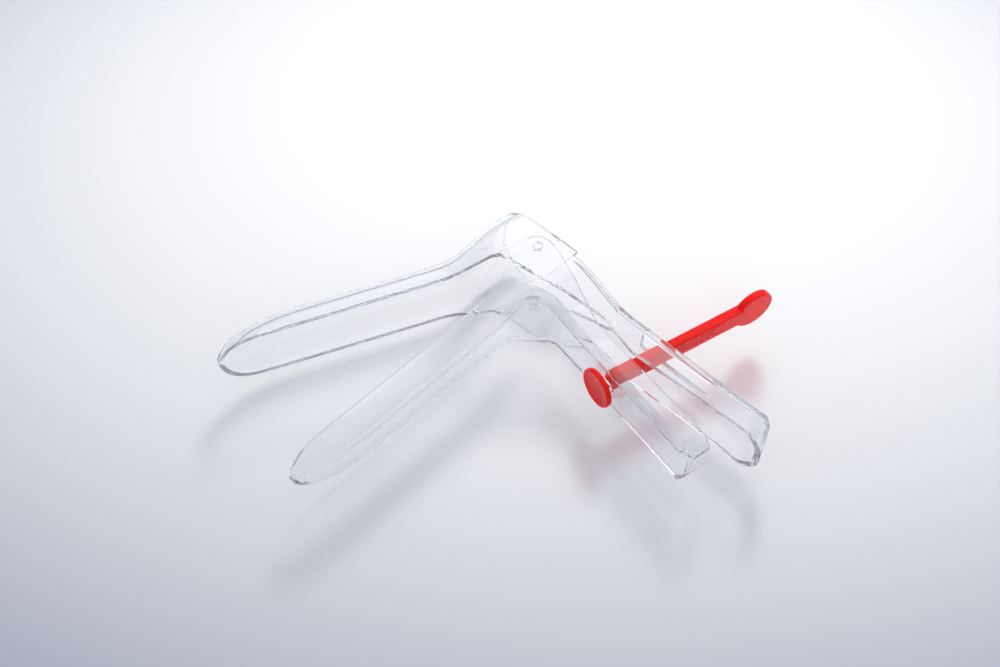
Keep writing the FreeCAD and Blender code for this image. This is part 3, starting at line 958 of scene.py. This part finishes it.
    def window(self, name: str, outline: np.ndarray, back: float) -> Thing:
        """Block that cuts an opening from behind, up to the hinge's upright.

        Args:
            name: the block's name.
            outline: (n, 2) points, height over the hinge and distance across.
            back: distance of the face that it cuts behind the hinge.

        Returns:
            The cutting block.
        """
        behind = back + PAST
        return prism(name, outline, direction(0) * behind, direction(90), SIDEWAYS, direction(180) * behind)

    def aperture(self) -> Thing:
        """Viewing opening between the cheeks and down the neck.

        Returns:
            The cutting block.
        """
        half = self.side_width - self.walls.wall
        foot = self.half_width - self.aperture_foot_wall
        r = self.aperture_corner
        top, shoulder, bottom = self.aperture_top, -self.aperture_shoulder, -self.aperture_bottom
        points = [(top, half), (shoulder, half), (bottom, foot),
                  (bottom, -foot), (shoulder, -half), (top, -half)]
        outline = rounded_outline(points, [0, r, r, r, r, 0], arc_steps=12)
        return self.window("aperture", outline, self.cheek_back)

    def bar_slot(self, bar: "BarForm") -> Thing:
        """Long slot of the web, in which the bar slides.

        Args:
            bar: the locking bar's form.

        Returns:
            The cutting block.
        """
        half = bar.width / 2.0 + self.walls.slot
        top, bottom = -self.slot_top, -self.slot_bottom
        points = [(top, half), (bottom, half), (bottom, -half), (top, -half)]
        return self.window("slot", rounded_outline(points, [self.slot_corner] * 4), self.back)

    def hinge_holes(self) -> Thing:
        """Hole through both cheeks, countersunk on the outside.

        Returns:
            The cutting pin.
        """
        r = self.stud_radius + self.walls.hinge
        sink = self.sink_radius
        past, face, foot = CENTRE_Z + PAST, CENTRE_Z, CENTRE_Z - self.sink_depth
        profile = [(-past, NEAR_AXIS), (-past, sink), (-face, sink), (-foot, r),
                   (foot, r), (face, sink), (past, sink), (past, NEAR_AXIS)]
        return revolved("holes", np.array(profile), np.zeros(3), SIDEWAYS)

    def build(self, bar: "BarForm", material: bpy.types.Material) -> Thing:
        """Makes the moulding and dresses it.

        Args:
            bar: the locking bar's form, which the slot fits.
            material: the clear plastic.

        Returns:
            The finished piece.
        """
        wall, lip = self.walls.wall, self.walls.lip
        body = self.lofted(self.name, self.arch(0.0))
        combine(body, [self.above_hinge()], Cut.KEEP)
        handle = self.lofted("handle", self.handle(0.0))
        combine(handle, [self.end(0.0, 0.0), self.foot(0.0)], Cut.KEEP)
        combine(body, [handle], Cut.JOIN)
        combine(body, [side_prism("outline", self.outline())], Cut.KEEP)
        combine(body, [self.panel(1.0), self.panel(-1.0)], Cut.JOIN)
        inside = self.lofted("inside", self.handle(wall))
        combine(inside, [self.end(wall, lip), self.foot(lip)], Cut.KEEP)
        hollow = self.lofted("hollow", self.arch(wall))
        combine(body, [hollow, inside, self.aperture(), self.bar_slot(bar), self.hinge_holes()], Cut.REMOVE)
        return self.place(body, material)


@dataclass(frozen=True)
class BarForm:
    """Sizes of the locking bar, in millimetres."""

    distance: float = 47.7  # from the hinge to the bar's axis
    lean: float = 14.3
    length: float = 63.5
    width: float = 7.1
    thickness: float = 3.5
    edge: float = 0.5
    head_radius: float = 6.9
    head_thickness: float = 1.9
    head_edge: float = 0.4
    head_gap: float = 1.7
    dish_radius: float = 6.3
    dish_depth: float = 0.5
    dish_power: int = 3
    dish_middle: float = 0.002  # share of the dish's radius where its profile starts
    head_steps: int = 16
    neck_radius: float = 1.65
    neck_length: float = 4.1
    paddle_radius: float = 7.37
    paddle_thickness: float = 2.8
    paddle_overlap: float = 2.2  # how far the shaft's end goes into the paddle
    paddle_steps: int = 9
    tooth_pitch: float = 2.5
    tooth_depth: float = 0.7
    tooth_start: float = 6.0
    tooth_step: float = 0.02
    tooth_over: float = 0.05
    toothed_length: float = 36.0
    comb_back: float = 1.0
    rail: float = 1.1

    def frame(self) -> tuple[np.ndarray, np.ndarray, np.ndarray]:
        """Point where the bar's axis is nearest the hinge, the way it runs, and the way down the handles."""
        below = direction(-90.0 - self.lean)
        return below * self.distance, direction(-self.lean), below

    def face(self, web: float, handle_lean: float) -> np.ndarray:
        """Centre of the head's outer face, in front of a web at this distance and lean.

        Args:
            web: distance of the front web's face before the hinge.
            handle_lean: the front handle's lean in degrees.

        Returns:
            The point.
        """
        start, along, _ = self.frame()
        lean = direction(-handle_lean)
        to_web = (-web - start @ lean) / (along @ lean)
        return start + along * (to_web - self.head_gap - self.head_thickness)


@dataclass
class LockingBar(Piece):
    """Head disc, neck, toothed shaft and thumb paddle."""

    crease: float = 30.0
    form: BarForm = field(default_factory=BarForm)

    def head(self, face: np.ndarray, along: np.ndarray) -> Thing:
        """Round head, its edge rounded, and its outer face dished as d (1 - s^p).

        Here d is the dish's depth, s the share of its radius and p its power.

        Args:
            face: centre of the outer face.
            along: the way the bar runs.

        Returns:
            The head.
        """
        f = self.form
        share = np.linspace(f.dish_middle, 1.0, f.head_steps)
        dish = np.stack([f.dish_depth * (1.0 - share ** f.dish_power), share * f.dish_radius], axis=1)
        turn = np.linspace(-math.pi / 2.0, math.pi / 2.0, f.head_steps)
        half = f.head_thickness / 2.0
        edge = np.stack([half + half * np.sin(turn),
                         f.head_radius - f.head_edge + f.head_edge * np.cos(turn)], axis=1)
        back = np.array([(f.head_thickness, NEAR_AXIS)])
        return revolved("head", np.concatenate([dish, edge, back]), face, along, turns=96)

    def neck(self, face: np.ndarray, along: np.ndarray) -> Thing:
        """Round neck, its ends sunk into the head and the shaft.

        Args:
            face: centre of the head's outer face.
            along: the way the bar runs.

        Returns:
            The neck.
        """
        f = self.form
        start = f.head_thickness / 2.0
        end = f.head_thickness + f.neck_length + f.head_thickness / 2.0
        r = f.neck_radius
        profile = np.array([(start, NEAR_AXIS), (start, r), (end, r), (end, NEAR_AXIS)])
        return revolved("neck", profile, face, along, turns=48)

    def shaft(self, face: np.ndarray, along: np.ndarray, below: np.ndarray) -> Thing:
        """Flat shaft with rounded long edges, and saw teeth sunk between two rails on the hinge's side.

        Args:
            face: centre of the head's outer face.
            along: the way the bar runs.
            below: the way down the handles.

        Returns:
            The shaft.
        """
        f = self.form
        half_t = f.thickness / 2.0
        half_w = f.width / 2.0
        start = f.head_thickness + f.neck_length
        end = f.length - f.paddle_radius + f.paddle_overlap
        corners = [(-half_t, -half_w), (half_t, -half_w), (half_t, half_w), (-half_t, half_w)]
        outline = rounded_outline(corners, [f.edge] * 4, arc_steps=6)
        made = prism("shaft", outline, face + along * start, below, SIDEWAYS, along * (end - start))
        count = int(f.toothed_length / f.tooth_pitch)
        foot = start + f.tooth_start + f.tooth_pitch * np.arange(count)
        low = np.stack([foot, np.full(count, -half_t + f.tooth_depth)], axis=1)
        high = np.stack([foot + f.tooth_pitch - f.tooth_step, np.full(count, -half_t - f.tooth_over)], axis=1)
        zigzag = np.stack([low, high], axis=1).reshape(-1, 2)
        back = -half_t - f.comb_back
        comb = np.concatenate([[(foot[0], back)], zigzag, [(zigzag[-1, 0], back)]])
        half = half_w - f.rail
        teeth = prism("teeth", comb, face - SIDEWAYS * half, along, below, SIDEWAYS * 2.0 * half)
        return combine(made, [teeth], Cut.REMOVE)

    def paddle(self, face: np.ndarray, along: np.ndarray, below: np.ndarray) -> Thing:
        """Round thumb paddle, its rims rounded by a quarter circle.

        Args:
            face: centre of the head's outer face.
            along: the way the bar runs.
            below: the way down the handles, square to the paddle.

        Returns:
            The paddle.
        """
        f = self.form
        half = f.paddle_thickness / 2.0
        turn = np.linspace(0.0, math.pi / 2.0, f.paddle_steps)
        rim = np.stack([half - f.edge + f.edge * np.sin(turn),
                        f.paddle_radius - f.edge + f.edge * np.cos(turn)], axis=1)
        other_rim = rim[::-1] * np.array([-1.0, 1.0])
        profile = np.concatenate([[(-half, NEAR_AXIS)], other_rim, rim, [(half, NEAR_AXIS)]])
        return revolved("paddle", profile, face + along * f.length, below, turns=96)

    def build(self, web: float, handle_lean: float, material: bpy.types.Material) -> Thing:
        """Makes the bar and dresses it.

        Args:
            web: distance of the front web's face before the hinge.
            handle_lean: the front handle's lean in degrees.
            material: the red plastic.

        Returns:
            The finished piece.
        """
        _, along, below = self.form.frame()
        face = self.form.face(web, handle_lean)
        body = self.head(face, along)
        others = [self.neck(face, along), self.shaft(face, along, below), self.paddle(face, along, below)]
        return self.place(combine(body, others, Cut.JOIN), material)


class Output(Enum):
    """What a node tree shades."""

    MATERIAL = "ShaderNodeOutputMaterial"
    WORLD = "ShaderNodeOutputWorld"


class Ray(Enum):
    """Kinds of ray that a finish may let through."""

    SHADOW = "Is Shadow Ray"
    DIFFUSE = "Is Diffuse Ray"


class NodeTree:
    """Small helper that adds and joins the nodes of one material or of the world."""

    def __init__(self, owner: bpy.types.Material | bpy.types.World, output: Output = Output.MATERIAL) -> None:
        """Empties the owner's nodes and gives it its output.

        Args:
            owner: the material or the world.
            output: which of the two it is.
        """
        owner.use_nodes = True
        self.owner = owner
        self.nodes = owner.node_tree.nodes
        self.links = owner.node_tree.links
        self.nodes.clear()
        self.output = self.add(output.value)

    def add(self, kind: str, **values: object) -> bpy.types.Node:
        """Adds a node and sets its sockets by name.

        Args:
            kind: the node's type.
            values: socket name, with spaces as underscores, and its value.

        Returns:
            The node.
        """
        node = self.nodes.new(kind)
        for name, value in values.items():
            node.inputs[name.replace("_", " ")].default_value = value
        return node

    def join(self, source: bpy.types.NodeSocket, target: bpy.types.NodeSocket) -> None:
        """Links one socket to another."""
        self.links.new(source, target)

    def noise(self, scale: float, detail: float, stretch: Triple = (1.0, 1.0, 1.0)) -> bpy.types.NodeSocket:
        """Noise on the object's own coordinates, stretched along its axes.

        Args:
            scale: size of the pattern, in cycles a metre.
            detail: how many octaves.
            stretch: scale along each axis.

        Returns:
            The noise's value socket.
        """
        place = self.add("ShaderNodeTexCoord")
        mapping = self.add("ShaderNodeMapping", Scale=stretch)
        texture = self.add("ShaderNodeTexNoise", Scale=scale, Detail=detail, Roughness=0.5)
        self.join(place.outputs["Object"], mapping.inputs["Vector"])
        self.join(mapping.outputs["Vector"], texture.inputs["Vector"])
        return texture.outputs["Fac"]

    def ranged(self, value: bpy.types.NodeSocket, low: float, high: float) -> bpy.types.NodeSocket:
        """A value from 0 to 1, spread from low to high.

        Args:
            value: the value's socket.
            low: what 0 becomes.
            high: what 1 becomes.

        Returns:
            The spread value's socket.
        """
        spread = self.add("ShaderNodeMapRange", To_Min=low, To_Max=high)
        self.join(value, spread.inputs["Value"])
        return spread.outputs["Result"]

    def calculated(self, operation: str, first: bpy.types.NodeSocket,
                   second: bpy.types.NodeSocket | float) -> bpy.types.NodeSocket:
        """One operation on two values.

        Args:
            operation: the Math node's operation.
            first: the first value.
            second: the second, a socket or a number.

        Returns:
            The result's socket.
        """
        node = self.add("ShaderNodeMath")
        node.operation = operation
        self.join(first, node.inputs[0])
        if isinstance(second, bpy.types.NodeSocket):
            self.join(second, node.inputs[1])
        else:
            node.inputs[1].default_value = second
        return node.outputs[0]

    def blended(self, share: bpy.types.NodeSocket, first: Colour, second: Colour) -> bpy.types.NodeSocket:
        """Colour that goes from the first to the second as the share goes from 0 to 1.

        Args:
            share: the share's socket.
            first: colour at 0.
            second: colour at 1.

        Returns:
            The colour's socket.
        """
        node = self.add("ShaderNodeMix")
        node.data_type = "RGBA"
        node.inputs[MIX_FIRST].default_value = first
        node.inputs[MIX_SECOND].default_value = second
        self.join(share, node.inputs[0])
        return node.outputs[MIX_RESULT]

    def ramped(self, value: bpy.types.NodeSocket, *stops: tuple[float, Colour]) -> bpy.types.NodeSocket:
        """Colour read off a ramp.

        Args:
            value: where on the ramp.
            stops: place and colour of each stop, in order.

        Returns:
            The colour's socket.
        """
        node = self.add("ShaderNodeValToRGB")
        elements = node.color_ramp.elements
        for element, stop in ((elements[0], stops[0]), (elements[1], stops[-1])):
            element.position, element.color = stop
        for place, colour in stops[1:-1]:
            elements.new(place).color = colour
        self.join(value, node.inputs[0])
        return node.outputs[0]

    def dent(self, shader: bpy.types.Node, height: bpy.types.NodeSocket, strength: float,
             depth: float) -> None:
        """Bends the shader's normal by a pattern of heights.

        Args:
            shader: the shader.
            height: the pattern.
            strength: how much of it shows.
            depth: its depth in metres.
        """
        bump = self.add("ShaderNodeBump", Strength=strength, Distance=depth)
        self.join(height, bump.inputs["Height"])
        self.join(bump.outputs["Normal"], shader.inputs["Normal"])

    def show(self, shader: bpy.types.Node, shadow: bpy.types.Node, *rays: Ray) -> None:
        """Shows the shader, and lets these rays pass through the tinted shadow instead.

        Args:
            shader: what the camera sees.
            shadow: a transparent shader.
            rays: the kinds of ray that pass through it.
        """
        path = self.add("ShaderNodeLightPath")
        chosen = path.outputs[rays[0].value]
        for ray in rays[1:]:
            chosen = self.calculated("MAXIMUM", chosen, path.outputs[ray.value])
        mixed = self.add("ShaderNodeMixShader")
        self.join(chosen, mixed.inputs[0])
        self.join(shader.outputs[0], mixed.inputs[1])
        self.join(shadow.outputs[0], mixed.inputs[2])
        self.join(mixed.outputs[0], self.output.inputs["Surface"])


@dataclass(frozen=True)
class ClearPlastic:
    """Crystal-clear moulded plastic: faint flow waves, and shadows that stay light but for their edges."""

    name: str = "clear_moulded_plastic"
    tint: Colour = (0.975, 0.98, 0.992, 1.0)
    ior: float = 1.5
    clarity: float = 0.97
    roughness: tuple[float, float] = (0.01, 0.04)
    wave_scale: float = 70.0
    wave_detail: float = 2.0
    wave_stretch: Triple = (1.0, 1.0, 0.6)
    wave_strength: float = 0.12
    wave_depth: float = 0.0006
    shadow_face: Colour = (0.995, 0.996, 1.0, 1.0)
    shadow_edge: Colour = (0.10, 0.12, 0.17, 1.0)
    shadow_falloff: float = 2.2
    depth_colour: Colour = (0.55, 0.58, 0.74, 1.0)
    depth_density: float = 9.0

    def material(self) -> bpy.types.Material:
        """Builds the material.

        The shadow's tint goes from face to edge as f^p, with f how edge-on the face is and p the falloff.

        Returns:
            The material.
        """
        tree = NodeTree(bpy.data.materials.new(self.name))
        shader = tree.add("ShaderNodeBsdfPrincipled", Base_Color=self.tint, IOR=self.ior,
                          Transmission_Weight=self.clarity)
        waves = tree.noise(self.wave_scale, self.wave_detail, self.wave_stretch)
        tree.join(tree.ranged(waves, *self.roughness), shader.inputs["Roughness"])
        tree.dent(shader, waves, self.wave_strength, self.wave_depth)
        facing = tree.add("ShaderNodeLayerWeight", Blend=0.5)
        steep = tree.calculated("POWER", facing.outputs["Facing"], self.shadow_falloff)
        shadow = tree.add("ShaderNodeBsdfTransparent")
        tree.join(tree.blended(steep, self.shadow_face, self.shadow_edge), shadow.inputs["Color"])
        tree.show(shader, shadow, Ray.SHADOW, Ray.DIFFUSE)
        depth = tree.add("ShaderNodeVolumeAbsorption", Color=self.depth_colour, Density=self.depth_density)
        tree.join(depth.outputs[0], tree.output.inputs["Volume"])
        return tree.owner


@dataclass(frozen=True)
class RedPlastic:
    """Satin red moulded plastic that lets a little light through, faintly mottled and grained."""

    name: str = "red_moulded_plastic"
    colour: Colour = (0.73, 0.012, 0.008, 1.0)
    deep: Colour = (0.67, 0.008, 0.006, 1.0)
    ior: float = 1.5
    gloss: float = 0.18
    glow: float = 1.0
    glow_reach: float = 0.008
    glow_radius: Triple = (1.0, 0.2, 0.2)
    roughness: tuple[float, float] = (0.22, 0.32)
    mottle_scale: float = 160.0
    mottle_detail: float = 3.0
    grain_scale: float = 1400.0
    grain_detail: float = 2.0
    grain_strength: float = 0.08
    grain_depth: float = 0.0003
    shadow: Colour = (0.72, 0.40, 0.47, 1.0)

    def material(self) -> bpy.types.Material:
        """Builds the material.

        Returns:
            The material.
        """
        tree = NodeTree(bpy.data.materials.new(self.name))
        shader = tree.add("ShaderNodeBsdfPrincipled", IOR=self.ior, Subsurface_Weight=self.glow,
                          Subsurface_Scale=self.glow_reach, Subsurface_Radius=self.glow_radius,
                          Specular_IOR_Level=self.gloss)
        mottle = tree.noise(self.mottle_scale, self.mottle_detail)
        tree.join(tree.blended(mottle, self.colour, self.deep), shader.inputs["Base Color"])
        tree.join(tree.ranged(mottle, *self.roughness), shader.inputs["Roughness"])
        grain = tree.noise(self.grain_scale, self.grain_detail)
        tree.dent(shader, grain, self.grain_strength, self.grain_depth)
        shadow = tree.add("ShaderNodeBsdfTransparent", Color=self.shadow)
        tree.show(shader, shadow, Ray.SHADOW)
        return tree.owner


@dataclass(frozen=True)
class Lamp:
    """Square area lamp: place and side in metres, power in watts, and whether gloss and glass show it."""

    name: str
    place: Triple
    size: float
    power: float
    mirrored: bool = False


@dataclass(frozen=True)
class Studio:
    """Pale table with painted light and shade on it, soft light and the camera, in metres."""

    floor_size: float = 3.0
    # The table's colours are painted light and shade: a painted pool of light under the part, painted
    # blue-grey shade round it, paler again far away.
    floor_painted_light: Colour = (0.93, 0.93, 0.935, 1.0)
    floor_painted_shade: Colour = (0.30, 0.338, 0.418, 1.0)
    floor_painted_far_shade: Colour = (0.50, 0.53, 0.60, 1.0)
    floor_roughness: float = 0.6
    floor_gloss: float = 0.1
    painted_light_turn: float = 45.0  # from the photograph's frame to the table's own, in degrees
    painted_light_spot: tuple[float, float] = (0.022, 0.077)  # u0 and v0 in the floor's formula, the centre of the painted pool of light
    painted_light_reach: tuple[float, float] = (0.479, 0.332)  # a and b in it, the reach of the painted pool of light
    painted_shade_at: float = 0.6  # the formula's value where the painted shade is grey
    painted_far_at: float = 2.4  # and where the painted shade is as pale as far away
    sky_low: Colour = (0.42, 0.43, 0.55, 1.0)
    sky_high: Colour = (0.94, 0.97, 1.02, 1.0)
    sky_high_at: float = 0.6
    sky_strength: float = 0.60
    eye: Triple = (-0.1953, -0.16323, 0.33443)
    aim: Triple = (-0.02541, -0.00787, 0.017)
    roll: float = 2.178
    lens: float = 43.2
    sensor: float = 36.0
    nearest: float = 0.01
    farthest: float = 20.0
    bounces: int = 24
    lamp_colour: Triple = (1.0, 0.985, 0.96)
    lamps: tuple[Lamp, ...] = (Lamp("key", (0.732, 0.497, 0.799), 0.24, 8.3),
                               Lamp("panel", (0.75, 0.50, 0.80), 1.0, 2.5, mirrored=True),
                               Lamp("fill", (-0.62, -0.75, 0.55), 0.8, 3.0))

    def aimed(self, place: Triple) -> Matrix:
        """Placement at this point, turned so that its -Z looks at the aim."""
        look = (Vector(self.aim) - Vector(place)).to_track_quat("-Z", "Y").to_matrix().to_4x4()
        return Matrix.Translation(Vector(place)) @ look

    def camera(self) -> None:
        """Camera at the photograph's place, turned to the aim and rolled about its own axis."""
        data = bpy.data.cameras.new("camera")
        data.lens = self.lens
        data.sensor_width = self.sensor
        data.clip_start = self.nearest
        data.clip_end = self.farthest
        thing = linked("camera", data)
        thing.matrix_world = self.aimed(self.eye) @ Matrix.Rotation(math.radians(self.roll), 4, "Z")
        bpy.context.scene.camera = thing

    def floor(self) -> None:
        """Table top, painted with a pool of light under the far side of the part and with blue-grey shade
        away from it.

        With u and v the distances across and up the photograph's frame on the table, the share of painted
        shade grows as ((u - u0) / a)^2 + ((v - v0) / b)^2.
        """
        half = self.floor_size / 2.0
        mesh = bpy.data.meshes.new("floor")
        corners = [(-half, -half, 0.0), (half, -half, 0.0), (half, half, 0.0), (-half, half, 0.0)]
        mesh.from_pydata(corners, [], [(0, 1, 2, 3)])
        thing = linked("floor", mesh)
        tree = NodeTree(bpy.data.materials.new("table_with_painted_light"))
        place = tree.add("ShaderNodeTexCoord")
        turned = tree.add("ShaderNodeMapping", Rotation=(0.0, 0.0, math.radians(self.painted_light_turn)),
                          Location=(-self.painted_light_spot[0], -self.painted_light_spot[1], 0.0))
        scaled = tree.add("ShaderNodeVectorMath")
        scaled.operation = "MULTIPLY"
        scaled.inputs[1].default_value = (1.0 / self.painted_light_reach[0], 1.0 / self.painted_light_reach[1], 0.0)
        away = tree.add("ShaderNodeVectorMath")
        away.operation = "DOT_PRODUCT"
        spread = tree.add("ShaderNodeMapRange", From_Max=self.painted_far_at)
        shader = tree.add("ShaderNodeBsdfPrincipled", Roughness=self.floor_roughness,
                          Specular_IOR_Level=self.floor_gloss)
        tree.join(place.outputs["Object"], turned.inputs["Vector"])
        tree.join(turned.outputs["Vector"], scaled.inputs[0])
        tree.join(scaled.outputs["Vector"], away.inputs[0])
        tree.join(scaled.outputs["Vector"], away.inputs[1])
        tree.join(away.outputs["Value"], spread.inputs["Value"])
        # Painted light and shade: white in the painted pool of light, painted blue-grey shade round it, paler
        # far away.
        colour = tree.ramped(spread.outputs["Result"], (0.0, self.floor_painted_light),
                             (self.painted_shade_at / self.painted_far_at, self.floor_painted_shade), (1.0, self.floor_painted_far_shade))
        tree.join(colour, shader.inputs["Base Color"])
        tree.join(shader.outputs[0], tree.output.inputs["Surface"])
        mesh.materials.append(tree.owner)

    def light(self, lamp: Lamp) -> None:
        """Hangs a lamp so that it faces the part.

        Args:
            lamp: its place, size and power.
        """
        data = bpy.data.lights.new(lamp.name, "AREA")
        data.size = lamp.size
        data.energy = lamp.power
        data.color = self.lamp_colour
        thing = linked(lamp.name, data)
        thing.visible_glossy = lamp.mirrored
        thing.visible_transmission = lamp.mirrored
        thing.matrix_world = self.aimed(lamp.place)

    def world(self) -> None:
        """Soft surroundings, bright overhead and darker low down, so that clear edges draw a grey line."""
        world = bpy.data.worlds.new("surroundings")
        tree = NodeTree(world, Output.WORLD)
        place = tree.add("ShaderNodeTexCoord")
        split = tree.add("ShaderNodeSeparateXYZ")
        ground = tree.add("ShaderNodeBackground", Strength=self.sky_strength)
        tree.join(place.outputs["Generated"], split.inputs[0])
        sky = tree.ramped(split.outputs["Z"], (0.0, self.sky_low), (self.sky_high_at, self.sky_high))
        tree.join(sky, ground.inputs["Color"])
        tree.join(ground.outputs[0], tree.output.inputs["Surface"])
        bpy.context.scene.world = world

    def build(self) -> None:
        """Sets up the camera, the table, the light and how far light is followed through the clear pieces."""
        self.camera()
        self.floor()
        self.world()
        for lamp in self.lamps:
            self.light(lamp)
        scene = bpy.context.scene
        scene.view_settings.view_transform = "Standard"
        scene.cycles.max_bounces = self.bounces
        scene.cycles.glossy_bounces = self.bounces
        scene.cycles.transmission_bounces = self.bounces
        scene.cycles.caustics_reflective = False
        scene.cycles.caustics_refractive = False


def main() -> None:
    """Builds the studio and the three pieces."""
    logging.basicConfig(level=logging.INFO, format="%(message)s")
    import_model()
    Studio().build()
    clear = ClearPlastic().material()
    red = RedPlastic().material()
    bar = BarForm()
    lower = LowerValve("lower_valve_shell", "lower_valve", "clear_plastic")
    upper = UpperValve("upper_valve_shell", "upper_valve", "clear_plastic")
    lower.build(bar, clear)
    upper.build(bar, clear)
    LockingBar("locking_bar_shell", "locking_bar", "red_plastic", form=bar).build(lower.web, lower.lean, red)


if __name__ == "__main__":
    main()
